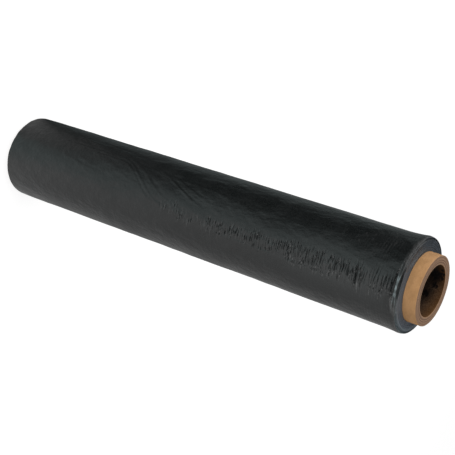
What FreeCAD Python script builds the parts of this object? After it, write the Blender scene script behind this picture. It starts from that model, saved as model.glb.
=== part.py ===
import FreeCAD, Part
import math
import os
import Sketcher

# A roll of black stretch wrap, standing on one end of its paper core.
# The row frame has +Z along the roll's axis and its origin at the middle of the
# core's lower cut end, so the part stands on Z = 0. All sizes are in millimetres.
#
# The real thing is two pieces:
#   core       a spirally wound paper tube, a little longer than the film is wide
#   film_roll  the wound web of film, one solid from the first turn to the last


# Driving dimensions

SIZES = [
    ("film_width", 500.0, "width of the web, and length of the wound film"),
    ("film_diameter", 92.0, "outside diameter over the middle of the wound film"),
    ("core_bore", 50.0, "inside diameter of the paper tube"),
    ("core_wall", 9.0, "wall of the paper tube"),
    ("top_stub", 12.0, "length of tube left bare at the upper end"),
    ("foot_stub", 8.0, "length of tube left bare at the lower end"),
    ("core_edge_ease", 0.5, "corner worn off the tube's cut edges"),
    ("ply_width", 100.0, "width of the outermost strip of paper"),
    ("ply_gap", 0.9, "gap between two turns of that strip"),
    ("ply_thickness", 0.45, "thickness of that strip, and depth of the gap"),
    ("ply_line_count", 3, "glue lines seen in the wall of the cut end"),
    ("ply_line_width", 0.5, "width of a glue line"),
    ("ply_line_depth", 0.3, "depth of a glue line"),
    ("edge_flare", 1.0, "radius gained where the web's thick edge builds up"),
    ("flare_length", 26.0, "length of roll over which it gains that and rounds over"),
    ("rim_drop", 7.0, "depth of the widest place below the film's upper end"),
    ("rim_shoulder", 1.8, "radius lost from there to the outermost turn's edge"),
    ("end_crown", 2.2, "height of the innermost turns above the outermost"),
    ("foot_taper", 0.4, "radius lost towards the other edge"),
    ("taper_length", 24.0, "length of roll over which it loses that"),
    ("foot_shoulder", 1.4, "bevel at the roll's lower edge"),
    ("lip_width", 0.9, "width of the outermost turns, which stand free"),
    ("slack_width", 0.8, "gap left by the slack turns inside them"),
    ("slack_depth", 1.4, "depth of that gap"),
    ("terrace_count", 5, "bands of turns that step up towards the core"),
    ("turn_pitch", 2.2, "distance between bands of turns on the lower end"),
    ("turn_step", 0.35, "depth of the line between two bands"),
    ("turn_line", 0.7, "width of the line between two bands"),
    ("tail_lift", 0.3, "height of the loose end's edge"),
    ("tail_bearing", 118.0, "angle of the loose end about the axis, from +X"),
    ("tail_run", 11.0, "angle in which the step beside it dies out"),
    ("crease_count", 40, "creases pressed into the outermost turns"),
    ("crease_section", 1.4, "radius of a crease's own section"),
    ("crease_depth", 0.5, "depth of the deepest crease at its middle"),
    ("crease_bar", 24.0, "length of the bar that presses a crease"),
    ("crease_start", 0.58, "where the creases begin, as a share of the film's width"),
    ("crease_end", 0.97, "where they end"),
    ("crease_first_bearing", -77.0, "angle of the band of creases where it begins"),
    ("crease_last_bearing", -81.0, "angle of that band where it ends"),
    ("crease_spread", 14.0, "half the width of that band, as an angle"),
]

GOLDEN_SHARE = (math.sqrt(5.0) - 1.0) / 2.0
CREASE_TILT = 7.0

doc = FreeCAD.newDocument("stretch_wrap_roll")
sheet = doc.addObject("Spreadsheet::Sheet", "sizes")
for row, (alias, value, note) in enumerate(SIZES, start=1):
    sheet.set(f"A{row}", alias)
    sheet.set(f"B{row}", str(value))
    sheet.setAlias(f"B{row}", alias)
    sheet.set(f"C{row}", note)
doc.recompute()

# Places that several features share, each written once as an expression on the sheet.
CORE_RADIUS = "(sizes.core_bore / 2 + sizes.core_wall)"
FILM_RADIUS = "(sizes.film_diameter / 2)"
RIM_RADIUS = f"({FILM_RADIUS} + sizes.edge_flare)"
FILM_FOOT = "sizes.foot_stub"
FILM_TOP = "(sizes.foot_stub + sizes.film_width)"
CORE_LENGTH = "(sizes.foot_stub + sizes.film_width + sizes.top_stub)"


def number(expression):
    """The value of an expression on the sheet."""
    return float(sheet.evalExpression(expression))


def new_body(name):
    """A body whose label names its file."""
    body = doc.addObject("PartDesign::Body", name)
    body.Label = name
    return body


def new_sketch(body, name, role):
    """A sketch on one of the body's own origin planes."""
    sketch = body.newObject("Sketcher::SketchObject", name)
    plane = next(f for f in body.Origin.OriginFeatures if f.Role == role)
    sketch.AttachmentSupport = [(plane, "")]
    sketch.MapMode = "FlatFace"
    return sketch


def bind(sketch, name, constraint, expression):
    """Adds a dimension and ties it to the sheet."""
    index = sketch.addConstraint(constraint)
    sketch.renameConstraint(index, name)
    sketch.setExpression(f"Constraints.{name}", expression)


def place_vertex(sketch, name, edge, end, across, along):
    """Ties a vertex to its distance from the axis and its height."""
    bind(sketch, f"{name}_x", Sketcher.Constraint("DistanceX", -1, 1, edge, end, number(across)), across)
    if along == "0":
        sketch.addConstraint(Sketcher.Constraint("PointOnObject", edge, end, -1))
    else:
        bind(sketch, f"{name}_y", Sketcher.Constraint("DistanceY", -1, 1, edge, end, number(along)), along)


def draw_polygon(sketch, name, corners):
    """A closed chain of straight edges through corners given as pairs of expressions."""
    points = [FreeCAD.Vector(number(x), number(y), 0) for x, y in corners]
    following = points[1:] + points[:1]
    edges = [sketch.addGeometry(Part.LineSegment(a, b)) for a, b in zip(points, following)]
    for edge, after in zip(edges, edges[1:] + edges[:1]):
        sketch.addConstraint(Sketcher.Constraint("Coincident", edge, 2, after, 1))
    for i, (edge, (x, y)) in enumerate(zip(edges, corners)):
        place_vertex(sketch, f"{name}_{i}", edge, 1, x, y)


def draw_profile(sketch, name, corners):
    """A closed chain of edges. A corner is (x, y) or, where an arc that leaves the edge
    before it without a kink leads on to the next corner, (x, y, "arc")."""
    points = [FreeCAD.Vector(number(c[0]), number(c[1]), 0) for c in corners]
    count = len(points)
    ends = []
    for i, corner in enumerate(corners):
        a, b = points[i], points[(i + 1) % count]
        if len(corner) == 2:
            ends.append((sketch.addGeometry(Part.LineSegment(a, b)), 1, 2))
            continue
        heading = a - points[i - 1]
        heading.normalize()
        chord = b - a
        side = FreeCAD.Vector(-heading.y, heading.x, 0)
        radius = chord.Length ** 2 / (2 * chord.dot(side))
        centre = a + side * radius
        start, stop = (a, b) if radius > 0 else (b, a)
        angles = [math.atan2(p.y - centre.y, p.x - centre.x) for p in (start, stop)]
        circle = Part.Circle(centre, FreeCAD.Vector(0, 0, 1), abs(radius))
        edge = sketch.addGeometry(Part.ArcOfCircle(circle, *angles))
        ends.append((edge, 1, 2) if radius > 0 else (edge, 2, 1))
    for i, (edge, first, last) in enumerate(ends):
        following, entry, _ = ends[(i + 1) % count]
        smooth = len(corners[(i + 1) % count]) == 3
        kind = "Tangent" if smooth else "Coincident"
        sketch.addConstraint(Sketcher.Constraint(kind, edge, last, following, entry))
    for i, ((edge, first, _), corner) in enumerate(zip(ends, corners)):
        place_vertex(sketch, f"{name}_{i}", edge, first, corner[0], corner[1])


def turn(body, kind, name, sketch):
    """Turns a sketch once round the roll's axis, as solid or as a cut."""
    feature = body.newObject(f"PartDesign::{kind}", name)
    feature.Profile = sketch
    feature.ReferenceAxis = (sketch, ["V_Axis"])
    feature.Angle = 360.0
    return feature


# Core: a spirally wound paper tube

def make_core():
    core = new_body("core")

    section = new_sketch(core, "tube_section", "XZ_Plane")
    bore = "(sizes.core_bore / 2)"
    ease = "sizes.core_edge_ease"
    draw_polygon(section, "tube", [
        (f"{bore} + {ease}", "0"),
        (f"{CORE_RADIUS} - {ease}", "0"),
        (CORE_RADIUS, ease),
        (CORE_RADIUS, f"{CORE_LENGTH} - {ease}"),
        (f"{CORE_RADIUS} - {ease}", CORE_LENGTH),
        (f"{bore} + {ease}", CORE_LENGTH),
        (bore, f"{CORE_LENGTH} - {ease}"),
        (bore, ease),
    ])
    turn(core, "Revolution", "tube", section)

    # The glue lines between plies show as fine rings in both cut ends.
    lines = new_sketch(core, "ply_line_section", "XZ_Plane")
    for k in range(int(number("sizes.ply_line_count"))):
        share = f"({k + 1} / (sizes.ply_line_count + 1))"
        middle = f"({bore} + sizes.core_wall * {share})"
        half = "sizes.ply_line_width / 2"
        for end, rim, sign in (("foot", "0", "+"), ("top", CORE_LENGTH, "-")):
            draw_polygon(lines, f"{end}{k}", [
                (f"{middle} - {half}", rim),
                (f"{middle} + {half}", rim),
                (middle, f"{rim} {sign} sizes.ply_line_depth"),
            ])
    turn(core, "Groove", "ply_lines", lines)

    # The outermost strip of paper winds up the tube with a narrow gap between its turns.
    seam = new_sketch(core, "ply_gap_section", "XZ_Plane")
    strip_slope = f"asin(sizes.ply_width / (2 * pi * {CORE_RADIUS}))"
    pitch = f"(2 * pi * {CORE_RADIUS} * tan({strip_slope}))"
    below = f"(0 - {pitch} / 2)"
    half_gap = f"(sizes.ply_gap / 2 / cos({strip_slope}))"
    draw_polygon(seam, "gap", [
        (f"{CORE_RADIUS} - sizes.ply_thickness", f"{below} - {half_gap}"),
        (f"{CORE_RADIUS} + sizes.ply_thickness", f"{below} - {half_gap}"),
        (f"{CORE_RADIUS} + sizes.ply_thickness", f"{below} + {half_gap}"),
        (f"{CORE_RADIUS} - sizes.ply_thickness", f"{below} + {half_gap}"),
    ])
    gap = core.newObject("PartDesign::SubtractiveHelix", "ply_gap")
    gap.Profile = seam
    gap.ReferenceAxis = (seam, ["V_Axis"])
    gap.Mode = "pitch-height-angle"
    gap.setExpression("Pitch", pitch)
    gap.setExpression("Height", f"{CORE_LENGTH} + {pitch}")
    return core


# Film: the wound web, from its first turn on the core to its loose end

def foot_lines(first, count):
    """The corners of the lines between bands of turns, from the outermost one inwards."""
    corners = []
    for k in range(count):
        outer = f"({first} - {k} * sizes.turn_pitch)"
        corners += [
            (outer, FILM_FOOT),
            (f"{outer} - sizes.turn_line / 2", f"{FILM_FOOT} + sizes.turn_step"),
            (f"{outer} - sizes.turn_line", FILM_FOOT),
        ]
    return corners


def terraces(outer, count):
    """The corners of the bands of turns that step up from a radius to the core."""
    corners = []
    for k in range(count):
        band = f"(({outer} - {CORE_RADIUS}) / sizes.terrace_count)"
        level = f"({FILM_TOP} - sizes.end_crown * (1 - {k + 1} / sizes.terrace_count))"
        corners += [(f"{outer} - {k} * {band}", level), (f"{outer} - {k + 1} * {band}", level)]
    return corners


def make_web():
    """The film as wound, with its built-up upper edge and the bands of turns in its ends."""
    web = new_body("wound_web")
    section = new_sketch(web, "web_section", "XZ_Plane")

    foot_radius = f"({FILM_RADIUS} - sizes.foot_taper)"
    first_line = f"({foot_radius} - sizes.foot_shoulder - sizes.turn_pitch / 2)"
    room = number(first_line) - number(CORE_RADIUS) - number("sizes.turn_line")
    line_count = int(room / number("sizes.turn_pitch")) + 1

    outer_edge = f"({FILM_TOP} - sizes.end_crown)"
    lip_radius = f"({RIM_RADIUS} - sizes.rim_shoulder)"
    lip_inside = f"({lip_radius} - sizes.lip_width)"
    slack_inside = f"({lip_inside} - sizes.slack_width)"
    slack_floor = f"({outer_edge} - sizes.slack_depth)"
    shoulder_radius = f"({RIM_RADIUS} - sizes.rim_shoulder / 3)"
    shoulder_level = f"({FILM_TOP} - (sizes.rim_drop + sizes.end_crown) / 2)"

    corners = [(CORE_RADIUS, FILM_FOOT)]
    corners += foot_lines(first_line, line_count)[::-1]
    corners += [
        (f"{foot_radius} - sizes.foot_shoulder", FILM_FOOT),
        (foot_radius, f"{FILM_FOOT} + sizes.foot_shoulder"),
        (FILM_RADIUS, f"{FILM_FOOT} + sizes.taper_length"),
        (FILM_RADIUS, f"{FILM_TOP} - sizes.flare_length", "arc"),
        (RIM_RADIUS, f"{FILM_TOP} - sizes.rim_drop"),
        (shoulder_radius, shoulder_level),
        (lip_radius, outer_edge),
        (lip_inside, outer_edge),
        (lip_inside, slack_floor),
        (slack_inside, slack_floor),
    ]
    corners += terraces(slack_inside, int(number("sizes.terrace_count")))
    draw_profile(section, "web", corners)
    turn(web, "Revolution", "web", section)
    return web


def add_tail(web):
    """The loose end, a low step along the roll that dies out round the turn."""
    outline = new_sketch(web, "tail_section", "XY_Plane")
    level = f"({FILM_FOOT} + sizes.taper_length / 2)"
    outline.setExpression("AttachmentOffset.Base.z", level)
    inner = f"({FILM_RADIUS} - sizes.tail_lift)"
    outer = f"({FILM_RADIUS} + sizes.tail_lift)"
    edge = "sizes.tail_bearing"
    fade = "(sizes.tail_bearing + sizes.tail_run)"
    places = [(inner, edge), (outer, edge), (inner, fade)]
    corners = [(f"{r} * cos({a} * 1deg)", f"{r} * sin({a} * 1deg)") for r, a in places]
    draw_polygon(outline, "tail", corners)
    tail = web.newObject("PartDesign::Pad", "tail")
    tail.Profile = outline
    top = f"({FILM_TOP} - sizes.flare_length / 2)"
    tail.setExpression("Length", f"{top} - {level}")
    return tail


def make_creases():
    """Short creases pressed into the outermost turns by round bars laid across the roll.
    The deeper a bar bites, the longer its crease. The golden ratio scatters them."""
    tools = []
    count = int(number("sizes.crease_count"))
    for k in range(count):
        along = (k + 0.5) / count
        scatter = 2.0 * ((k * GOLDEN_SHARE) % 1.0) - 1.0
        strength = 0.4 + 0.6 * (((k + 0.5) * GOLDEN_SHARE * 3.0) % 1.0)
        lean = CREASE_TILT * (2.0 * (((k + 0.3) * GOLDEN_SHARE * 5.0) % 1.0) - 1.0)
        share = f"(sizes.crease_start + {along:.4f} * (sizes.crease_end - sizes.crease_start))"
        level = f"({FILM_FOOT} + {share} * sizes.film_width)"
        run = "(sizes.crease_last_bearing - sizes.crease_first_bearing)"
        spread = f"{scatter:.3f} * sizes.crease_spread"
        bearing = f"(sizes.crease_first_bearing + {along:.4f} * {run} + {spread})"
        reach = f"({FILM_RADIUS} + sizes.crease_section - {strength:.3f} * sizes.crease_depth)"
        bar = doc.addObject("Part::Cylinder", f"crease_{k:02d}")
        bar.setExpression("Radius", "sizes.crease_section")
        bar.setExpression("Height", "sizes.crease_bar")
        place = (
            f"create(<<placement>>; create(<<vector>>; {reach} * cos({bearing} * 1deg); "
            f"{reach} * sin({bearing} * 1deg); {level}); "
            f"create(<<rotation>>; {bearing}; 0; {90.0 + lean:.2f}))"
        )
        centred = (
            "create(<<placement>>; create(<<vector>>; 0; 0; 0 - sizes.crease_bar / 2); "
            "create(<<rotation>>; 0; 0; 0))"
        )
        bar.setExpression("Placement", f"{place} * {centred}")
        tools.append(bar)
    creases = doc.addObject("Part::MultiFuse", "creases")
    creases.Shapes = tools
    return creases


def make_film():
    web = make_web()
    add_tail(web)
    film = doc.addObject("Part::Cut", "film_roll")
    film.Base = web
    film.Tool = make_creases()
    return film


# The document, its checks and its files

core = make_core()
film_roll = make_film()
doc.recompute()

for item in doc.Objects:
    if "Invalid" in item.State or "Error" in item.State:
        raise RuntimeError(f"{item.Label} did not compute: {item.State}")

os.makedirs("parts", exist_ok=True)
for node in (core, film_roll):
    if node.Shape.isNull() or not node.Shape.isValid() or len(node.Shape.Solids) != 1:
        raise RuntimeError(f"{node.Label} is not one sound solid")
    node.Shape.exportStep(f"parts/{node.Name}.step")
    litres = node.Shape.Volume / 1.0e6
    print(f"{node.Name}: {litres:.3f} l, {len(node.Shape.Faces)} faces")
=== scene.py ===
# %% [markdown]
# This scene dresses a roll of black stretch wrap that stands on its paper core. It
# is loaded first, and its box is noted.

# %% The frame
import math

import bpy
import numpy as np
from mathutils import Matrix, Vector


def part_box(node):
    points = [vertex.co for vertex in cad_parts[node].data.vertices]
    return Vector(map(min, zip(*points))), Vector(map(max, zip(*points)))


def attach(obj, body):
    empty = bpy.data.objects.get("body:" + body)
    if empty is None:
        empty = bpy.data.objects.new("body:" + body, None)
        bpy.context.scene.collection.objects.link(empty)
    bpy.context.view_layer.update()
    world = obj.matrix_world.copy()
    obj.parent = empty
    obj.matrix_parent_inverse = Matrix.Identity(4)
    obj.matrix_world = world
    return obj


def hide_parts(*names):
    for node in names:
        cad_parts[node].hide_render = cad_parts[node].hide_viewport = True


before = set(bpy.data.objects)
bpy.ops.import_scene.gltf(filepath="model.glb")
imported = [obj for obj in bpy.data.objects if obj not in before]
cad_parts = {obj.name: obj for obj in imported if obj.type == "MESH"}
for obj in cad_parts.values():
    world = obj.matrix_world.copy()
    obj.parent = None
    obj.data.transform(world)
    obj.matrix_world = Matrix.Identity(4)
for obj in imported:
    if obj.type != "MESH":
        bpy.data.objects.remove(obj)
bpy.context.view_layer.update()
print("solids:", sorted(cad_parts))

# %% [markdown]
# All lengths in Blender are metres, and each one below starts from the frame: the
# film's solid gives its two ends and the radius at the swollen rim, and the core's
# solid gives the tube. What the boxes can't tell, such as the bore or how far the rim
# swells, is written out once more as a named value.

# %% Sizes
MM = 0.001
film_low, film_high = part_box("film_roll")
core_low, core_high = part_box("core")
FOOT, TOP = film_low.z, film_high.z
CORE_RADIUS, CORE_TOP = core_high.x, core_high.z
BORE_RADIUS = 25.0 * MM
FLARE, FLARE_LENGTH = 1.0 * MM, 26.0 * MM
FILM_RADIUS = film_high.x - FLARE
FOOT_TAPER, TAPER_LENGTH, FOOT_BEVEL = 0.4 * MM, 24.0 * MM, 1.4 * MM
RIM_DROP, RIM_SHOULDER, END_CROWN = 7.0 * MM, 1.0 * MM, 2.2 * MM
RIM_TOP = TOP - END_CROWN
print(f"film radius {FILM_RADIUS / MM:.1f} mm, core radius {CORE_RADIUS / MM:.1f} mm")

# %% [markdown]
# Both pieces are turned forms: a profile that runs once round its own section, swept
# round the roll's axis. Arrays of the same shape say where each point goes, one row
# for each point of the profile and one column for each bearing, so every fold or
# crease is a plain sum over whole arrays. One helper turns such a grid into a closed
# mesh, whose rows and columns both join up with themselves.

# %% A closed grid
def closed_grid(name, radius, bearing, height, **masks):
    """A ring-shaped surface. Point (i, j) lies at radius times the cosine and sine of
    its bearing, and at its height. A quad joins it to its neighbours, and the last row
    and column join the first. Masks become attributes that materials can read."""
    rows, columns = radius.shape
    points = np.stack([radius * np.cos(bearing), radius * np.sin(bearing), height], -1)
    index = np.arange(rows * columns).reshape(rows, columns)
    below, beside = np.roll(index, -1, axis=0), np.roll(index, -1, axis=1)
    across = np.roll(below, -1, axis=1)
    quads = np.stack([index, beside, across, below], -1).reshape(-1, 4)
    mesh = bpy.data.meshes.new(name)
    mesh.vertices.add(rows * columns)
    mesh.vertices.foreach_set("co", points.ravel())
    mesh.loops.add(quads.size)
    mesh.loops.foreach_set("vertex_index", quads.ravel())
    mesh.polygons.add(len(quads))
    mesh.polygons.foreach_set("loop_start", np.arange(0, quads.size, 4))
    mesh.polygons.foreach_set("use_smooth", np.ones(len(quads), bool))
    mesh.update(calc_edges=True)
    for mask, values in masks.items():
        layer = mesh.attributes.new(mask, "FLOAT", "POINT")
        layer.data.foreach_set("value", np.ascontiguousarray(values, np.float32).ravel())
    mesh.validate()
    piece = bpy.data.objects.new(name, mesh)
    bpy.context.collection.objects.link(piece)
    print(f"{name}: {rows} rows, {columns} columns, {2 * len(quads)} triangles")
    return piece

# %% [markdown]
# Nearly every form here is made of two curves: a hill, which rises and falls again,
# and a rise, which stays up. Bearings come back to where they began after a whole
# turn, so the distance between two of them is taken the short way round.

# %% Hills and rises
def hill(x, middle, width):
    """One at the middle, and falling to 1/e a width away from it on either side."""
    return np.exp(-(((x - middle) / width) ** 2))


def rise(x, start, end):
    """Zero before start, one after end, and a smooth step between them."""
    t = np.clip((x - start) / (end - start), 0.0, 1.0)
    return t * t * (3.0 - 2.0 * t)


def turn_between(a, b):
    """The angle from b to a, the short way round."""
    return (a - b + np.pi) % (2.0 * np.pi) - np.pi

# %% [markdown]
# The columns lie close together on the side with the creases and further apart on the
# rest of the roll. At the web's loose end two of them form a pair, so that its edge
# can be a step. One generator draws all random numbers, and its seed is fixed.

# %% Bearings
FRONT_FROM, FRONT_TO = math.radians(-145.0), math.radians(-35.0)
LOOSE_END, END_EDGE = math.radians(118.0), math.radians(0.4)
bearing = np.concatenate([
    np.linspace(FRONT_FROM, FRONT_TO, 84, endpoint=False),
    np.linspace(FRONT_TO, LOOSE_END - END_EDGE, 35),
    np.linspace(LOOSE_END, FRONT_FROM + 2.0 * np.pi, 21, endpoint=False),
])[None, :]
rng = np.random.default_rng(4)
print("columns:", bearing.size)

# %% [markdown]
# The wound film looks like a plain cylinder, but it isn't one. The web is a little
# thicker along one edge, and hundreds of turns add that up to a rim that swells over
# the last few centimetres and then rounds over. The other edge draws in slightly. The
# rows lie close together where fine creases will go and far apart elsewhere. The
# swelling is uneven: on the side that is uppermost in the photograph it is larger.

# %% The side of the film
def heights(*stretches):
    """Heights in order, from stretches of (start, end, spacing), without their ends."""
    return np.concatenate([
        np.linspace(start, end, round((end - start) / spacing), endpoint=False)
        for start, end, spacing in stretches
    ])


side_z = heights(
    (FOOT + FOOT_BEVEL, 14.0 * MM, 0.8 * MM),
    (14.0 * MM, 100.0 * MM, 10.0 * MM),
    (100.0 * MM, 228.0 * MM, 1.8 * MM),
    (228.0 * MM, 300.0 * MM, 0.62 * MM),
    (300.0 * MM, RIM_TOP - 0.3 * MM, 0.46 * MM),
)[:, None]


def side_radius(z, swell):
    """The plain radius, less a straight taper near the foot, plus a flare that grows
    with the square of the way into the rim and a shoulder that rounds over as the
    square of the way past its widest place."""
    into_foot = np.clip((FOOT + TAPER_LENGTH - z) / TAPER_LENGTH, 0.0, 1.0)
    widest = TOP - RIM_DROP
    into_rim = np.clip((z - (TOP - FLARE_LENGTH)) / (widest - TOP + FLARE_LENGTH), 0.0, 1.0)
    past = np.clip((z - widest) / (RIM_TOP - widest), 0.0, 1.0)
    return FILM_RADIUS - FOOT_TAPER * into_foot + swell * into_rim**2 - RIM_SHOULDER * past**2


UPPER_SIDE, EVEN_SHARE, UPPER_SHARE = math.pi, 1.15, 0.45
lopsided = FLARE * (EVEN_SHARE + UPPER_SHARE * np.cos(bearing - UPPER_SIDE))
side_r = side_radius(side_z, lopsided)
print(f"side: {len(side_z)} rows, {side_r.min() / MM:.1f} to {side_r.max() / MM:.1f} mm")

# %% [markdown]
# Film that is pulled tight round a roll still has slack in places. It shows as broad
# waves with a mottle on them, as thin folds, as short creases pressed across the web,
# and as fine rings. Each is a sum of smooth hills and hollows over the bearing and the
# height, mostly a few tenths of a millimetre deep, so that the light finds them and
# the outline hardly changes. The waves come first, in three sizes, and are strongest
# on the slack side. The factor in front of each size is the steepness of its slopes.

# %% Broad waves and mottle
SLACK_MIDDLE, SLACK_REACH = math.radians(-112.0), math.radians(48.0)
slack_side = 0.35 + 0.65 * hill(turn_between(bearing, SLACK_MIDDLE), 0.0, SLACK_REACH)


def plane_waves(b, z, count, orders, lengths):
    """A sum of sines of the bearing and the height with random directions and phases.
    Whole waves fit round the roll. Each one's height is its length over two pi, so
    that all are equally steep, and the sum is divided by the root of their number."""
    total = 0.0 * b * z
    for _ in range(count):
        order = rng.integers(*orders)
        climb = 2.0 * np.pi / (rng.uniform(*lengths) * MM * rng.choice((-1.0, 1.0)))
        steepness = math.hypot(order / FILM_RADIUS, climb)
        total += np.sin(order * b + climb * z + rng.uniform(0.0, 2.0 * np.pi)) / steepness
    return total / math.sqrt(count)


relief = 0.030 * plane_waves(bearing, side_z, 14, (2, 9), (60.0, 160.0)) * slack_side
relief += 0.062 * plane_waves(bearing, side_z, 40, (9, 40), (12.0, 60.0)) * slack_side
relief += 0.052 * plane_waves(bearing, side_z, 40, (24, 70), (7.0, 40.0)) * slack_side
print(f"waves: {relief.min() / MM:.2f} to {relief.max() / MM:.2f} mm")

# %% [markdown]
# A thin fold runs up the roll and then eases round it. Each row below gives the two
# bearings in degrees, the heights between which it bends, the heights where it starts
# and ends, and its own height and width, all in millimetres.

# %% Thin folds
def strand(b, z, bearings, bend, ends, height, width):
    """A thin ridge with a hollow beside it. It starts at the first bearing, eases over
    to the second between the heights of the bend, and fades out towards both ends.
    The distance from it is taken round the roll, times the cosine of its slope."""
    first, last = np.radians(bearings)
    at = first + (last - first) * rise(z, bend[0] * MM, bend[1] * MM)
    slope = np.gradient(at[:, 0], z[:, 0])[:, None] * FILM_RADIUS
    away = turn_between(b, at) * FILM_RADIUS / np.hypot(1.0, slope)
    start, end = ends[0] * MM, ends[1] * MM
    fade = 0.25 * (end - start)
    kept = rise(z, start, start + fade) * (1.0 - rise(z, end - fade, end))
    section = hill(away, 0.0, width * MM) - 0.7 * hill(away, -1.7 * width * MM, width * MM)
    return height * MM * kept * section


for bearings, bend, ends, height, width in (
    ((-127, -82), (162, 236), (60, 248), 0.30, 1.1),
    ((-123, -84), (164, 222), (90, 236), 0.28, 0.9),
    ((-130, -90), (168, 246), (110, 256), 0.26, 1.0),
    ((-136, -91), (178, 304), (120, 310), 0.24, 1.0),
    ((-131, -96), (196, 290), (160, 300), 0.14, 0.9),
    ((-126, -103), (215, 300), (190, 330), 0.14, 1.1),
    ((-140, -122), (150, 230), (40, 300), 0.22, 1.6),
    ((-122, -117), (260, 330), (230, 400), 0.12, 1.5),
    ((-71, -68), (300, 420), (270, 450), 0.30, 1.2),
):
    relief += strand(bearing, side_z, bearings, bend, ends, height, width)
print(f"with folds: {relief.min() / MM:.2f} to {relief.max() / MM:.2f} mm")

# %% [markdown]
# The creases lie across the web, side by side in a band along the roll. Each row gives
# how many there are, the band's bearings in degrees at its two ends, the heights of
# those ends, how far they scatter in degrees, their lengths and their depth in
# millimetres. The last row scatters a few over the far side. Three long ones follow.

# %% Creases
CREASE_WINDOW = 8.0 * MM


def crease(b, z, place, length, width, depth, lean):
    """A hollow with a low bank above it: a hill of the distance across it, times a
    hill of the distance along it."""
    x = turn_between(b, place[0]) * FILM_RADIUS
    y = z - place[1]
    along = x * math.cos(lean) + y * math.sin(lean)
    across = y * math.cos(lean) - x * math.sin(lean)
    section = 0.7 * hill(across, 1.5 * width, width) - hill(across, 0.0, width)
    return depth * section * hill(along, 0.0, length)


def scattered_creases(b, z, count, bearings, ends, spread, lengths, depth):
    """Creases one after another up a band, from its first bearing to its last. They
    scatter about its middle, with random lengths, widths, depths and leans. Only the
    rows near a crease are worked out. Depths are squares of a random share."""
    total = 0.0 * b * z
    for share in (np.arange(count) + rng.uniform(-0.4, 0.4, count)) / count:
        at = bearings[0] + share * (bearings[1] - bearings[0]) + rng.normal(0.0, spread)
        level = (ends[0] + share * (ends[1] - ends[0])) * MM
        rows = np.abs(z[:, 0] - level) < CREASE_WINDOW
        total[rows] += crease(
            b, z[rows], (math.radians(at), level), rng.uniform(*lengths) * MM,
            rng.uniform(0.50, 0.80) * MM, depth * MM * rng.uniform(0.35, 1.0) ** 2,
            rng.normal(0.0, 0.10),
        )
    return total


creases = 0.0 * relief
for count, bearings, ends, spread, lengths, depth in (
    (12, (-82, -94), (233, 254), 2.5, (1.2, 3.0), 0.70),
    (26, (-80, -74), (244, 300), 4.0, (1.2, 3.2), 0.85),
    (44, (-83, -86), (290, 392), 2.5, (1.6, 3.4), 0.95),
    (44, (-75, -76), (290, 392), 2.5, (1.6, 3.4), 0.85),
    (32, (-88, -88), (388, 472), 2.5, (2.4, 5.0), 1.10),
    (32, (-80, -80), (388, 472), 2.5, (2.4, 5.0), 1.25),
    (32, (-71, -72), (388, 472), 2.5, (2.4, 5.0), 0.75),
    (15, (-78, -79), (468, 500), 3.0, (6.0, 9.0), 0.65),
    (60, (40, 120), (310, 480), 30.0, (2.0, 6.0), 0.40),
):
    creases += scattered_creases(bearing, side_z, count, bearings, ends, spread, lengths, depth)
for at, level, length, depth in ((-79, 463, 8.5, 1.8), (-83, 449, 6.0, 1.1), (-74, 436, 5.0, 1.0)):
    creases += crease(
        bearing, side_z, (math.radians(at), level * MM), length * MM, 1.1 * MM, depth * MM, 0.02
    )
relief += creases
print(f"creases: {creases.min() / MM:.2f} to {creases.max() / MM:.2f} mm")

# %% [markdown]
# Fine rings run round the roll near the swollen rim. On the far side the web ends:
# from its edge on, the film is raised, and the rise dies out with the angle past it.

# %% Rings and the loose end
RINGS_AT, RINGS_REACH, RING_PITCH = TOP - 22.0 * MM, 22.0 * MM, 3.1 * MM
RING_HEIGHT = 0.05 * MM
ring_waves = np.sin(2.0 * np.pi * side_z / RING_PITCH)
relief += RING_HEIGHT * hill(side_z, RINGS_AT, RINGS_REACH) * ring_waves
END_LIFT, END_RUN = 0.3 * MM, math.radians(11.0)
past_end = bearing - LOOSE_END
relief += END_LIFT * np.clip(1.0 - past_end / END_RUN, 0.0, 1.0) * (past_end >= 0.0)
print(f"relief: {relief.min() / MM:.2f} to {relief.max() / MM:.2f} mm")

# %% [markdown]
# At the shown end the outermost turns stand a little free of the rest. Where they
# face the viewer they have been pulled in and down, and a groove runs below their
# edge. How far they are pulled is a hill of the bearing, and it scales all of this.
# The folds and creases fade out before the rim, which is drawn smooth.

# %% The pulled edge
LIP_MIDDLE, LIP_REACH = math.radians(-81.0), math.radians(20.0)
PULL_FROM, PULL_FULL = TOP - 12.0 * MM, TOP - 4.0 * MM
PULL_IN, PULL_DOWN = 0.6 * MM, 1.0 * MM
GROOVE_AT, GROOVE_REACH, GROOVE_DEPTH = TOP - 5.3 * MM, 1.8 * MM, 1.5 * MM
pulled = hill(turn_between(bearing, LIP_MIDDLE), 0.0, LIP_REACH)
quiet = 1.0 - rise(side_z, PULL_FROM, PULL_FULL)
groove = GROOVE_DEPTH * hill(side_z, GROOVE_AT, GROOVE_REACH)
groove = groove + PULL_IN * rise(side_z, PULL_FROM, TOP - 6.0 * MM)
side_r = side_r + relief * quiet - pulled * groove
side_h = side_z - PULL_DOWN * pulled * rise(side_z, PULL_FROM, PULL_FULL)
print(f"edge: {side_h[-1].min() / MM:.1f} to {side_h[-1].max() / MM:.1f} mm high")

# %% [markdown]
# From the edge the profile goes over the free turns, down to the floor of the gap
# behind them and up again. It crosses the end face to the core, follows the core down
# and comes back across the foot. The end face rises towards the core. Its rings are
# sines of the radius with several pitches, as no two bands of turns are equally wide.

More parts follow.
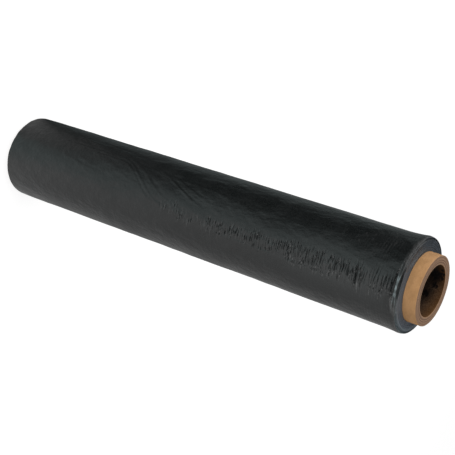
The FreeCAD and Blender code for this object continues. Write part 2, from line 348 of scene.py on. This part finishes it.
# %% The ends of the film
def rings(r, depth, shift):
    """Fine rings: sines of the radius with random pitches and phases."""
    total = 0.0 * r
    for pitch in rng.uniform(1.0, 4.0, 5) * MM:
        total += np.sin(2.0 * np.pi * r / pitch + rng.uniform(0.0, 2.0 * np.pi) + shift)
    return depth * total


FACE_ROWS, FACE_RISE = 34, 1.0 * MM
LIP_WIDTH, LIP_HEIGHT = 1.0 * MM, 0.3 * MM
flat = 0.0 * bearing
wobble = 0.5 * np.sin(7 * bearing + 1.0) + 0.4 * np.sin(17 * bearing) + 0.3 * np.sin(41 * bearing)
edge = side_r[-1:]
gap_floor = RIM_TOP - (1.4 + 2.2 * pulled) * MM
gap_width = (1.0 + 1.4 * pulled) * MM
gap_inside = edge - LIP_WIDTH - gap_width
lip_r = np.concatenate([
    edge - 0.3 * MM, edge - 0.8 * MM, edge - 0.9 * MM, edge - LIP_WIDTH,
    gap_inside, gap_inside - 0.1 * MM,
])
lip_top = side_h[-1:] + LIP_HEIGHT
lip_h = np.concatenate([
    lip_top, lip_top + 0.15 * MM * wobble, lip_top - LIP_HEIGHT,
    gap_floor, gap_floor, RIM_TOP - 0.3 * MM + flat,
])
inwards = np.linspace(1.0, 0.0, FACE_ROWS)[:, None]
face_r = CORE_RADIUS + inwards * (gap_inside - 0.2 * MM - CORE_RADIUS)
face_h = RIM_TOP + FACE_RISE * (1.0 - inwards) + rings(face_r, 0.08 * MM, 0.6 * wobble)
foot_edge = side_r[:1] - FOOT_BEVEL
foot_inwards = inwards[::-2]
foot_r = CORE_RADIUS + foot_inwards * (foot_edge - CORE_RADIUS)
foot_h = FOOT + np.abs(rings(foot_r, 0.09 * MM, 0.4 * wobble))
film_r = np.concatenate([side_r, lip_r, face_r, foot_r])
film_h = np.concatenate([side_h, lip_h, face_h, foot_h])
on_side = slice(0, len(side_z))
on_lip = slice(on_side.stop, on_side.stop + len(lip_r))
on_face = slice(on_lip.stop, on_lip.stop + len(face_r))
on_ends = slice(on_lip.stop, None)
print(f"rows: {len(side_r)} side, {len(lip_r)} lip, {len(face_r)} end face, {len(foot_r)} foot")

# %% [markdown]
# Black film turns grey where many turns are seen edge on. The grey of the end face
# is painted lighter towards one bearing and darker opposite it, as painted light and
# shade, and its outer part carries painted shade on the upper side. Two thin pale
# lines lie along the pulled edge: partly pale stretched film, partly painted
# highlights. They draw apart and meet again, and short streaks break them up. A
# fainter pale ring, a painted highlight, shows on the end face, on the side opposite
# to that.

# %% Grey ends with painted light and shade, and pale lines with painted highlights
PALE_SIDE, GREY_EVEN, GREY_SWING, GREY_LEAST = math.radians(-28.0), 0.38, 0.52, 0.22
end_grey = np.zeros_like(film_r)
# Painted light and shade: the end face's grey is lighter towards one bearing and darker opposite
# it.
grey_round = GREY_EVEN + GREY_SWING * np.cos(bearing - PALE_SIDE)
end_grey[on_ends] = np.clip(grey_round, GREY_LEAST, 1.0)
# Painted shade: the outer part of the end face is darker on the upper side.
shaded = hill(turn_between(bearing, UPPER_SIDE), 0.0, 0.8) * rise(inwards, 0.3, 0.9)
end_grey[on_face] *= 1.0 - 0.8 * shaded

# Painted highlights: the pale lines and streaks along the pulled edge, partly pale stretched film,
# and the pale ring on the end face and lip.
PALE_LINES, PALE_WIDTH = TOP - 4.3 * MM, 0.48 * MM
PALE_RING, RING_MIDDLE = 42.0 * MM, math.radians(-20.0)
streaks = np.clip(np.sin(29 * bearing + 3.0 * np.sin(5 * bearing)) + 0.5, 0.0, 1.0)
apart = (0.5 + 0.6 * (1.0 - np.cos(6.0 * turn_between(bearing, LIP_MIDDLE)))) * MM
lines = hill(side_z, PALE_LINES - apart, PALE_WIDTH) + hill(side_z, PALE_LINES + apart, PALE_WIDTH)
from_ring = turn_between(bearing, RING_MIDDLE)
ring_share = 0.55 * hill(face_r, PALE_RING, 0.6 * MM) * hill(from_ring, 0.0, 0.9)
pale_edge = np.zeros_like(film_r)
pale_edge[on_side] = np.clip(lines, 0.0, 1.0) * pulled**1.5 * (0.4 + 0.6 * streaks)
pale_edge[on_lip] = 0.35 * hill(from_ring, 0.0, 0.6)
pale_edge[on_face] = np.maximum(pale_edge[on_face], ring_share)
print(f"pale: {100.0 * (pale_edge > 0.1).mean():.1f} % of the points")

# %% [markdown]
# Creased film is smoother than the rest and catches more light, and the same goes for
# the groove under the edge. Round the deepest creases the film is painted a little
# greyer: partly rubbed by handling, partly a painted sheen. This is left out in the
# bottom of the creases and near the rim.

# %% Creased film, and rubbed film with a painted sheen
CREASED_FROM, UNRUBBED_FROM = 0.10 * MM, 0.20 * MM
RUBBED_BEARING, RUBBED_HEIGHT = math.radians(-77.0), 455.0 * MM
RUBBED_ROUND, RUBBED_ALONG = 0.38, 75.0 * MM
slack_band = np.zeros_like(film_r)
slack_band[on_side] = np.clip(np.abs(creases) / CREASED_FROM, 0.0, 1.0)
slack_band[on_side] += pulled * hill(side_z, TOP - 7.6 * MM, 2.4 * MM)
# Partly wear, partly painted sheen round the deepest creases.
rubbed = np.zeros_like(film_r)
rubbed[on_side] = hill(turn_between(bearing, RUBBED_BEARING), 0.0, RUBBED_ROUND)
rubbed[on_side] *= hill(side_z, RUBBED_HEIGHT, RUBBED_ALONG)
rubbed[on_side] *= 1.0 - np.clip(-creases / UNRUBBED_FROM, 0.0, 0.9)
rubbed[on_side] *= 1.0 - rise(side_z, TOP - 17.0 * MM, TOP - 10.0 * MM)
film = closed_grid(
    "film_web", film_r, bearing + 0.0 * film_r, film_h,
    end_face=end_grey, pale_edge=pale_edge, slack_band=slack_band, rubbed=rubbed,
)

# %% [markdown]
# The core is a tube wound from strips of kraft paper. Outside, the edges of one strip
# meet along a helix with a narrow gap, and inside another strip does the same at its
# own pitch. The cut ends show the plies edge on, as rings that the saw left uneven.

# %% The core's profile
PLY_WIDTH, EASE, WALL_ROWS = 100.0 * MM, 0.5 * MM, 34
strip_slope = math.asin(PLY_WIDTH / (2.0 * math.pi * CORE_RADIUS))
PLY_PITCH = 2.0 * math.pi * CORE_RADIUS * math.tan(strip_slope)
TUBE_END, STUB_FROM, SEEN_BORE_FROM = CORE_TOP - EASE, TOP - 2.0 * MM, CORE_TOP - 60.0 * MM
outside_z = heights(
    (EASE, FOOT, 0.8 * MM), (FOOT, STUB_FROM, 20.0 * MM), (STUB_FROM, TUBE_END, 0.35 * MM)
)
outside_z = np.append(outside_z, TUBE_END)
inside_z = heights((EASE, SEEN_BORE_FROM, 4.0 * MM), (SEEN_BORE_FROM, TUBE_END, 1.0 * MM))
inside_z = np.append(inside_z, TUBE_END)[::-1]
wall = np.linspace(CORE_RADIUS - EASE, BORE_RADIUS + EASE, WALL_ROWS)
profile_r = np.concatenate([
    0 * outside_z + CORE_RADIUS, wall, 0 * inside_z + BORE_RADIUS, wall[::-1]
])
profile_z = np.concatenate([outside_z, 0 * wall + CORE_TOP, inside_z, 0 * wall])
core_r, core_h = profile_r[:, None] + flat, profile_z[:, None] + flat
outside = (profile_r == CORE_RADIUS)[:, None]
bore_side = (profile_r == BORE_RADIUS)[:, None]
cut_end = 1.0 - outside - bore_side
print(f"core: wall {(CORE_RADIUS - BORE_RADIUS) / MM:.1f} mm, helix pitch {PLY_PITCH / MM:.0f} mm")

# %% [markdown]
# A seam is a hollow: a hill of the distance from a helix, taken out of the wall. The
# saw leaves rings on the cut ends. Near the mouth of the bore are a few dark smudges,
# each given by its bearing in degrees and its height and reach in millimetres. The
# bore has painted shade that deepens with depth, and on one side the painted shade
# sets in sooner.

# %% Seams, saw marks, smudges and painted shade in the bore
def seam_distance(z, b, pitch, start):
    """How far a point is from the nearest turn of a helix, measured up the tube."""
    turns = z / pitch - b / (2.0 * np.pi) + start
    return (turns - np.round(turns)) * pitch


SEAM_REACH, SEAM_DEPTH = 0.7 * MM, 0.35 * MM
BORE_SEAM_REACH, BORE_SEAM_DEPTH = 1.6 * MM, 0.3 * MM
seam = outside * hill(seam_distance(core_h, bearing, PLY_PITCH, 0.5), 0.0, SEAM_REACH)
bore_turn = seam_distance(core_h, bearing, 0.8 * PLY_PITCH, 0.2)
bore_seam = bore_side * hill(bore_turn, 0.0, BORE_SEAM_REACH)
saw = cut_end * rings(core_r, 0.05 * MM, 0.5 * np.sin(bearing))
smudges = np.zeros_like(core_r)
for at, level, reach in (
    (147, 517, 1.6), (136, 518, 1.8), (123, 517, 1.6),
    (104, 511, 3.0), (80, 505, 3.0), (128, 511, 6.0),
):
    round_bore = turn_between(bearing, math.radians(at)) * BORE_RADIUS
    away = np.hypot(round_bore, core_h - level * MM)
    smudges = np.maximum(smudges, bore_side * hill(away, 0.0, reach * MM))
core_r = core_r - SEAM_DEPTH * seam + BORE_SEAM_DEPTH * bore_seam
core_h = core_h - np.sign(core_h - 0.5 * CORE_TOP) * (cut_end * 0.16 * MM + saw)
# Painted shade: the bore darkens with depth, and sooner on one side.
shadowed = rise(CORE_TOP - core_h, -2.0 * MM, 18.0 * MM)
shadowed = shadowed + 0.4 * rise(bearing, math.radians(45.0), math.radians(110.0))
tube = closed_grid(
    "paper_tube", core_r, bearing + 0.0 * core_r, core_h,
    cut_end=cut_end + 0.0 * core_r, bore_side=bore_side + 0.0 * core_r,
    seam=seam + bore_seam, depth_of_wall=(core_r - BORE_RADIUS) / (CORE_RADIUS - BORE_RADIUS),
    smudges=smudges, down_the_bore=np.minimum(shadowed, 1.0) * bore_side,
)

# %% [markdown]
# Materials are node trees. A few short helpers keep them readable. Each adds a node or
# two and returns the result, so that a material reads as sums and mixes. They take
# numbers, colours or the results of other nodes.

# %% Node helpers
def arithmetic(tree, operation, a, b=0.0, clamp=False):
    """A Math node's result."""
    node = tree.nodes.new("ShaderNodeMath")
    node.operation = operation
    node.use_clamp = clamp
    for socket, value in zip(node.inputs, (a, b)):
        if isinstance(value, bpy.types.NodeSocket):
            tree.links.new(value, socket)
        else:
            socket.default_value = value
    return node.outputs[0]


def blend_colours(tree, share, a, b):
    """Colour a where share is 0, colour b where it is 1."""
    node = tree.nodes.new("ShaderNodeMix")
    node.data_type = "RGBA"
    for socket, value in zip((node.inputs[0], node.inputs[6], node.inputs[7]), (share, a, b)):
        if isinstance(value, bpy.types.NodeSocket):
            tree.links.new(value, socket)
        else:
            socket.default_value = value if isinstance(value, float) else (*value, 1.0)
    return node.outputs[2]


def remap(tree, value, low, high, to_low, to_high):
    """A value taken from one range to another, and held inside it."""
    node = tree.nodes.new("ShaderNodeMapRange")
    tree.links.new(value, node.inputs[0])
    for socket, number in zip(node.inputs[1:5], (low, high, to_low, to_high)):
        socket.default_value = number
    return node.outputs[0]


def attribute(tree, name):
    """One of the masks that the grids carry."""
    node = tree.nodes.new("ShaderNodeAttribute")
    node.attribute_name = name
    return node.outputs["Fac"]


def stretched_noise(tree, scale, detail=3.0, roughness=0.55):
    """Noise on object coordinates, with its own scale along each axis."""
    place = tree.nodes.new("ShaderNodeTexCoord")
    mapping = tree.nodes.new("ShaderNodeMapping")
    mapping.inputs["Scale"].default_value = scale
    tree.links.new(place.outputs["Object"], mapping.inputs["Vector"])
    noise = tree.nodes.new("ShaderNodeTexNoise")
    noise.inputs["Scale"].default_value = 1.0
    noise.inputs["Detail"].default_value = detail
    noise.inputs["Roughness"].default_value = roughness
    tree.links.new(mapping.outputs["Vector"], noise.inputs["Vector"])
    return noise.outputs["Fac"]


def new_material(name):
    """A material, its node tree and its shader node."""
    made = bpy.data.materials.new(name)
    made.use_nodes = True
    return made, made.node_tree, made.node_tree.nodes["Principled BSDF"]


def bumpy(tree, shader, height, strength, distance):
    """Lets a height shade the shader as if it were relief."""
    bumps = tree.nodes.new("ShaderNodeBump")
    bumps.inputs["Strength"].default_value = strength
    bumps.inputs["Distance"].default_value = distance
    tree.links.new(height, bumps.inputs["Height"])
    tree.links.new(bumps.outputs["Normal"], shader.inputs["Normal"])

# %% [markdown]
# Handling leaves both film and paper with patches of dust and rubbed places. That is
# one node group, used by both materials with values of their own: broad noise says
# where, fine noise breaks it up.

# %% Handling marks, a shared group
def handling_group():
    """The mask is broad patches times fine grain times an amount, at most one. The
    height is the grain alone."""
    group = bpy.data.node_groups.new("handling_marks", "ShaderNodeTree")
    for name, default in (("Patch Scale", 14.0), ("Grain Scale", 260.0), ("Amount", 0.5)):
        socket = group.interface.new_socket(name, in_out="INPUT", socket_type="NodeSocketFloat")
        socket.default_value = default
    group.interface.new_socket("Mask", in_out="OUTPUT", socket_type="NodeSocketFloat")
    group.interface.new_socket("Height", in_out="OUTPUT", socket_type="NodeSocketFloat")
    given, result = group.nodes.new("NodeGroupInput"), group.nodes.new("NodeGroupOutput")
    place = group.nodes.new("ShaderNodeTexCoord").outputs["Object"]
    noises = []
    for source in ("Patch Scale", "Grain Scale"):
        noise = group.nodes.new("ShaderNodeTexNoise")
        noise.inputs["Detail"].default_value = 4.0
        group.links.new(place, noise.inputs["Vector"])
        group.links.new(given.outputs[source], noise.inputs["Scale"])
        noises.append(noise.outputs["Fac"])
    patches = remap(group, noises[0], 0.42, 0.68, 0.0, 1.0)
    grain = remap(group, noises[1], 0.30, 0.70, 0.0, 1.0)
    mask = arithmetic(group, "MULTIPLY", patches, grain)
    mask = arithmetic(group, "MULTIPLY", mask, given.outputs["Amount"], clamp=True)
    group.links.new(mask, result.inputs["Mask"])
    group.links.new(grain, result.inputs["Height"])
    return group


handling = handling_group()


def handling_marks(tree, patch_scale, grain_scale, amount):
    """The group's mask and height, with values of a material's own."""
    node = tree.nodes.new("ShaderNodeGroup")
    node.node_tree = handling
    node.inputs["Patch Scale"].default_value = patch_scale
    node.inputs["Grain Scale"].default_value = grain_scale
    node.inputs["Amount"].default_value = amount
    return node.outputs["Mask"], node.outputs["Height"]


print("group sockets:", [item.name for item in handling.interface.items_tree])

# %% [markdown]
# The film is black right through, and its colour changes where it is dusty, rubbed,
# stretched or seen edge on, and where painted highlights, sheen and shade stand in for
# light: pale strokes in the creases, a painted sheen round the deepest creases, pale
# lines along the edge and a grey end face painted lighter on one side and darker on
# the other. What makes it film is its gloss: cloudy, a little duller under dust,
# smoother in the creases and towards the swollen rim, where it is wound tighter. Bump
# adds the lines drawn along the web, small wrinkles and a fine mottle.

# %% Black film
FILM_BLACK, FILM_DUSTY = (0.0045, 0.0055, 0.0056), (0.010, 0.011, 0.011)
# The pale tint is partly stretched film and partly a painted highlight.
END_GREY, STRETCHED_PALE = (0.085, 0.094, 0.108), (0.28, 0.35, 0.36)
CREASE_PALE = (0.024, 0.027, 0.027)
film_material, tree, shader = new_material("black_stretch_film")
dust, _ = handling_marks(tree, 16.0, 420.0, 0.6)
strokes = stretched_noise(tree, (130.0, 130.0, 640.0), 3.0, 0.6)
# Painted highlights: pale strokes in the creased band.
strained = remap(tree, strokes, 0.48, 0.62, 0.0, 1.0)
strained = arithmetic(tree, "MULTIPLY", attribute(tree, "slack_band"), strained)
# Partly wear, partly painted sheen: the film round the deepest creases is painted greyer.
greyed = arithmetic(tree, "MULTIPLY", attribute(tree, "rubbed"), 0.95)
colour = blend_colours(tree, dust, FILM_BLACK, FILM_DUSTY)
for share, tint in (
    (strained, CREASE_PALE), (greyed, CREASE_PALE),
    (attribute(tree, "end_face"), END_GREY), (attribute(tree, "pale_edge"), STRETCHED_PALE),
):
    colour = blend_colours(tree, share, colour, tint)
tree.links.new(colour, shader.inputs["Base Color"])

# %% Gloss and bump of the film
cloudy = stretched_noise(tree, (18.0, 18.0, 30.0), 3.0)
along = tree.nodes.new("ShaderNodeSeparateXYZ")
tree.links.new(tree.nodes.new("ShaderNodeTexCoord").outputs["Object"], along.inputs[0])
tighter = remap(tree, along.outputs["Z"], 0.16, 0.32, 0.0, 0.075)
taut = arithmetic(tree, "MULTIPLY", attribute(tree, "slack_band"), 0.12)
rough = remap(tree, cloudy, 0.35, 0.65, 0.31, 0.42)
rough = arithmetic(tree, "ADD", rough, arithmetic(tree, "MULTIPLY", dust, 0.12))
rough = arithmetic(tree, "SUBTRACT", rough, taut)
rough = arithmetic(tree, "SUBTRACT", rough, tighter)
tree.links.new(rough, shader.inputs["Roughness"])
shader.inputs["Specular IOR Level"].default_value = 0.42
draw_lines = stretched_noise(tree, (5.0, 5.0, 620.0), 3.0)
wrinkles = stretched_noise(tree, (60.0, 60.0, 320.0), 4.0, 0.6)
curls = stretched_noise(tree, (95.0, 95.0, 70.0), 3.5, 0.6)
broken_up = arithmetic(tree, "MULTIPLY", strokes, attribute(tree, "slack_band"))
height = arithmetic(tree, "ADD", arithmetic(tree, "MULTIPLY", draw_lines, 0.8), wrinkles)
height = arithmetic(tree, "ADD", height, arithmetic(tree, "MULTIPLY", curls, 13.0))
height = arithmetic(tree, "ADD", height, broken_up)
bumpy(tree, shader, height, 0.30, 0.35 * MM)
print("film material:", len(tree.nodes), "nodes")

# %% [markdown]
# Kraft paper is blotchy and fibrous. The cut ends show plies and glue as rings, which
# are noise of the depth in the wall alone. In the bore the paper is browner and darker,
# partly as painted shade, and it fades to a painted shade deeper down. The smudges are
# torn up by the fibres. Paper is rough and reflects little.

# %% Kraft paper
KRAFT, KRAFT_DARK = (0.53, 0.297, 0.136), (0.40, 0.220, 0.096)
CUT_PLY, CUT_GLUE = (0.340, 0.214, 0.135), (0.140, 0.083, 0.057)
# The bore's paper is browner and partly darkened as painted shade, and deeper down it fades to a
# near-black painted shade.
BORE_PAPER, BORE_DARK = (0.085, 0.036, 0.009), (0.006, 0.003, 0.002)
SMUDGE = (0.002, 0.001, 0.001)
paper_material, tree, shader = new_material("kraft_paper")
rub, grain = handling_marks(tree, 40.0, 900.0, 0.7)
fibres = stretched_noise(tree, (260.0, 260.0, 900.0), 4.0, 0.65)
blotches = stretched_noise(tree, (90.0, 90.0, 160.0), 3.0)
plies = tree.nodes.new("ShaderNodeTexNoise")
plies.noise_dimensions = "1D"
plies.inputs["Scale"].default_value = 11.0
plies.inputs["Detail"].default_value = 1.0
tree.links.new(attribute(tree, "depth_of_wall"), plies.inputs["W"])
ply_share = remap(tree, plies.outputs["Fac"], 0.42, 0.58, 0.0, 1.0)
cut = blend_colours(tree, ply_share, CUT_GLUE, CUT_PLY)
bore = blend_colours(tree, attribute(tree, "down_the_bore"), BORE_PAPER, BORE_DARK)
torn = remap(tree, fibres, 0.35, 0.6, 0.3, 1.6)
torn = arithmetic(tree, "MULTIPLY", attribute(tree, "smudges"), torn)
colour = blend_colours(tree, remap(tree, blotches, 0.35, 0.65, 0.0, 0.8), KRAFT, KRAFT_DARK)
for share, tint in (
    (remap(tree, fibres, 0.35, 0.75, 0.0, 0.45), KRAFT_DARK),
    (attribute(tree, "cut_end"), cut),
    (attribute(tree, "bore_side"), bore),
    (arithmetic(tree, "MULTIPLY", attribute(tree, "seam"), 0.5), CUT_GLUE),
    (arithmetic(tree, "MULTIPLY", rub, 0.35), CUT_PLY),
    (remap(tree, torn, 0.25, 0.55, 0.0, 1.0), SMUDGE),
):
    colour = blend_colours(tree, share, colour, tint)
tree.links.new(colour, shader.inputs["Base Color"])
tree.links.new(remap(tree, fibres, 0.3, 0.7, 0.78, 0.92), shader.inputs["Roughness"])
shader.inputs["Specular IOR Level"].default_value = 0.12
bumpy(tree, shader, arithmetic(tree, "ADD", fibres, grain), 0.5, 0.12 * MM)
print("paper material:", len(tree.nodes), "nodes")

# %% [markdown]
# Each piece gets its material, rides on the part's one body, and says which solid it
# replaces.

# %% Pieces on the frame
for piece, node, slot, finish in (
    (film, "film_roll", "stretch_film", film_material),
    (tube, "core", "core_paper", paper_material),
):
    piece.data.materials.append(finish)
    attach(piece, "root")
    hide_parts(node)
    print(piece.name, "replaces", node)

# %% [markdown]
# The floor is pale and matte. To the camera and in gloss it adds some light of its own,
# so that it reads as white, while the share that it reflects still carries the roll's
# soft shadow.

# %% The floor
def background_rays(tree):
    """One for camera, glossy and transmission rays, and zero for the rest."""
    path = tree.nodes.new("ShaderNodeLightPath")
    seen = arithmetic(
        tree, "MAXIMUM", path.outputs["Is Camera Ray"], path.outputs["Is Glossy Ray"]
    )
    return arithmetic(tree, "MAXIMUM", seen, path.outputs["Is Transmission Ray"])


def flat_sheet(name, corners):
    """A sheet of one face with the given corners, (x, y, z) in order."""
    mesh = bpy.data.meshes.new(name)
    mesh.from_pydata(corners, [], [tuple(range(len(corners)))])
    sheet = bpy.data.objects.new(name, mesh)
    bpy.context.collection.objects.link(sheet)
    return sheet


def level_square(half, z):
    """The corners of a level square about the axis, from half its side."""
    return [(-half, -half, z), (half, -half, z), (half, half, z), (-half, half, z)]


def upright_wall(half, y, low, high):
    """The corners of a wall that runs along X, from half its length."""
    return [(-half, y, low), (half, y, low), (half, y, high), (-half, y, high)]


FLOOR_HALF, OWN_LIGHT = 12.0, 0.83
LIT_PALE, SEEN_PALE = (0.62, 0.62, 0.62), (0.36, 0.36, 0.36)
floor = flat_sheet("floor", level_square(FLOOR_HALF, 0.0))
floor_material, tree, shader = new_material("pale_floor")
seen = background_rays(tree)
pale = blend_colours(tree, seen, LIT_PALE, SEEN_PALE)
tree.links.new(pale, shader.inputs["Base Color"])
shader.inputs["Roughness"].default_value = 1.0
shader.inputs["Specular IOR Level"].default_value = 0.0
shader.inputs["Emission Color"].default_value = (1.0, 1.0, 1.0, 1.0)
own_light = arithmetic(tree, "MULTIPLY", seen, OWN_LIGHT)
tree.links.new(own_light, shader.inputs["Emission Strength"])
floor.data.materials.append(floor_material)

# %% [markdown]
# Black film shows little but what it mirrors, so that decides its look. A second
# floor, which gloss alone can see, is bright or dark by direction: brightest in front,
# and nearly black on the side that is uppermost in the photograph. Each direction is
# mirrored by one band along the roll. A ramp holds the levels, each with its bearing
# in degrees. That dark half is a little cooler in colour than the other.

# %% A floor for gloss alone
def mirrored_card(name, colour, corners):
    """A sheet of one brightness that only gloss can see. Returns its tree and shader."""
    card = flat_sheet(name, corners)
    for ray in ("camera", "diffuse", "transmission", "shadow"):
        setattr(card, f"visible_{ray}", False)
    finish, tree, shader = new_material(name)
    shader.inputs["Base Color"].default_value = (0.0, 0.0, 0.0, 1.0)
    shader.inputs["Specular IOR Level"].default_value = 0.0
    shader.inputs["Emission Color"].default_value = (*colour, 1.0)
    shader.inputs["Emission Strength"].default_value = 1.0
    card.data.materials.append(finish)
    return tree, shader


LAID, ROOM = 1.0 * MM, 3.0
BRIGHTEST, COOLNESS = 1.2, 0.13
SURROUNDINGS = (
    (-180, 0.03), (-164, 0.045), (-150, 0.11), (-137, 0.22), (-125, 0.46), (-113, 0.80),
    (-90, 1.03), (-67, 1.16), (-43, 0.96), (-16, 0.73), (16, 0.60), (50, 0.42),
    (90, 0.36), (130, 0.26), (147, 0.24), (164, 0.15), (180, 0.03),
)
tree, shader = mirrored_card("mirrored_floor", (1.0, 1.0, 1.0), level_square(ROOM, LAID))
place = tree.nodes.new("ShaderNodeTexCoord").outputs["Object"]
round_it = tree.nodes.new("ShaderNodeTexGradient")
round_it.gradient_type = "RADIAL"
tree.links.new(place, round_it.inputs["Vector"])
direction = round_it.outputs["Fac"]
levels = tree.nodes.new("ShaderNodeValToRGB")
tree.links.new(direction, levels.inputs["Fac"])
for number, (side, level) in enumerate(SURROUNDINGS):
    spot = (side + 180.0) / 360.0
    stop = levels.color_ramp.elements[-1] if number == 0 else levels.color_ramp.elements.new(spot)
    stop.position = spot
    coolness = COOLNESS if side < -80 or side > 100 else 0.0
    stop.color = (level / BRIGHTEST * (1.0 - coolness), level / BRIGHTEST, level / BRIGHTEST, 1.0)
levels.color_ramp.elements.remove(levels.color_ramp.elements[0])
print("levels of the mirrored floor:", len(levels.color_ramp.elements))

# %% [markdown]
# The lower end of the film mirrors the floor right beside it. There the levels are
# evened out. In front, the floor is at least fairly bright close to the roll. Behind
# the roll it is dimmed a little.

# %% The mirrored floor close to the roll
NEAR_LEVEL, NEAR, FAR, BEHIND = 0.62, 0.08, 0.34, 0.10
away = tree.nodes.new("ShaderNodeVectorMath")
away.operation = "LENGTH"
tree.links.new(place, away.inputs[0])
upper_share = remap(tree, direction, 0.0, 0.09, 0.10, NEAR_LEVEL)
lower_share = remap(tree, direction, 0.5, 0.75, NEAR_LEVEL, 0.0)
near_level = arithmetic(tree, "MINIMUM", upper_share, lower_share)
nearness = remap(tree, away.outputs["Value"], NEAR, FAR, 1.0 / BRIGHTEST, 0.0)
near_the_roll = arithmetic(tree, "MULTIPLY", nearness, near_level)
brighter = tree.nodes.new("ShaderNodeMix")
brighter.data_type, brighter.blend_type = "RGBA", "LIGHTEN"
brighter.inputs[0].default_value = 1.0
tree.links.new(levels.outputs["Color"], brighter.inputs[6])
tree.links.new(near_the_roll, brighter.inputs[7])
tree.links.new(brighter.outputs[2], shader.inputs["Emission Color"])
behind = remap(tree, direction, 0.74, 0.86, 0.0, BEHIND * BRIGHTEST)
dimmed = arithmetic(tree, "MULTIPLY", arithmetic(tree, "MULTIPLY", nearness, BRIGHTEST), behind)
strength = arithmetic(tree, "SUBTRACT", BRIGHTEST, dimmed)
tree.links.new(strength, shader.inputs["Emission Strength"])
print("mirrored floor:", len(tree.nodes), "nodes")

# %% [markdown]
# Where the film widens into the rim, and on the end face, it is tilted and mirrors
# what stands round the stage: a dark room in front and a cool, dim wall behind. The
# world is white to the camera and in gloss, and lights the roll only weakly.

# %% Room, wall and world
ROOM_HIGH, WALL_AT, WALL_LOW, WALL_HIGH = 4.0, 1.6, 0.5, 3.2
DARK, COOL = (0.04, 0.04, 0.04), (0.20, 0.235, 0.28)
WORLD_LIGHT, WORLD_SEEN = 0.30, 1.0
mirrored_card("dark_room", DARK, upright_wall(ROOM, -ROOM, LAID, ROOM_HIGH))
mirrored_card("cool_wall", COOL, upright_wall(ROOM, WALL_AT, WALL_LOW, WALL_HIGH))
world = bpy.data.worlds.new("studio")
bpy.context.scene.world = world
world.use_nodes = True
tree = world.node_tree
sky = tree.nodes["Background"]
sky.inputs["Color"].default_value = (1.0, 1.0, 1.0, 1.0)
sky_level = remap(tree, background_rays(tree), 0.0, 1.0, WORLD_LIGHT, WORLD_SEEN)
tree.links.new(sky_level, sky.inputs["Strength"])

# %% [markdown]
# Three large square lamps light the roll softly: the strongest in front on the side
# that is uppermost in the photograph, and a weaker one on either side of it.

# %% Lamps
AIM = Vector((0.0, 0.0, 0.55 * CORE_TOP))


def soft_box(name, place, width, power):
    """A square lamp that faces the roll."""
    lamp = bpy.data.lights.new(name, "AREA")
    lamp.size, lamp.energy = width, power
    holder = bpy.data.objects.new(name, lamp)
    holder.location = place
    holder.rotation_euler = (AIM - Vector(place)).to_track_quat("-Z", "Y").to_euler()
    bpy.context.collection.objects.link(holder)


soft_box("front_box", (-1.3, -1.8, 1.5), 2.2, 36.0)
soft_box("side_box", (1.8, -1.2, 1.1), 1.8, 16.0)
soft_box("top_box", (-1.3, 0.4, 1.5), 1.6, 12.0)
print("lamps:", len(bpy.data.lights))

# %% [markdown]
# The photograph looks down on the roll's open end, with the roll across the picture.
# Here the roll stands up, so the camera takes the same angle to it and is turned a
# little more than a quarter round its own line of sight.

# %% Camera
FOCAL_PX, IMAGE_PX, SENSOR = 1041.5, 455.0, 36.0
CAMERA_PLACE = Vector((-0.0001, -0.9091, 0.8536))
VIEW_DOWN, VIEW_ASIDE = math.radians(31.826), math.radians(0.380)
VIEW_ROLL = math.radians(108.945)
forward = Vector((math.sin(VIEW_ASIDE), math.cos(VIEW_ASIDE), -math.tan(VIEW_DOWN))).normalized()
level = forward.cross(Vector((0.0, 0.0, 1.0))).normalized()
upright = level.cross(forward)
right = level * math.cos(VIEW_ROLL) + upright * math.sin(VIEW_ROLL)
lens = bpy.data.cameras.new("camera")
lens.sensor_width = SENSOR
lens.lens = FOCAL_PX * SENSOR / IMAGE_PX
camera = bpy.data.objects.new("camera", lens)
turned = Matrix((right, right.cross(forward), -forward)).transposed().to_4x4()
camera.matrix_world = Matrix.Translation(CAMERA_PLACE) @ turned
bpy.context.collection.objects.link(camera)
bpy.context.scene.camera = camera
bpy.context.scene.view_settings.view_transform = "Standard"
print(f"lens: {lens.lens:.1f} mm")
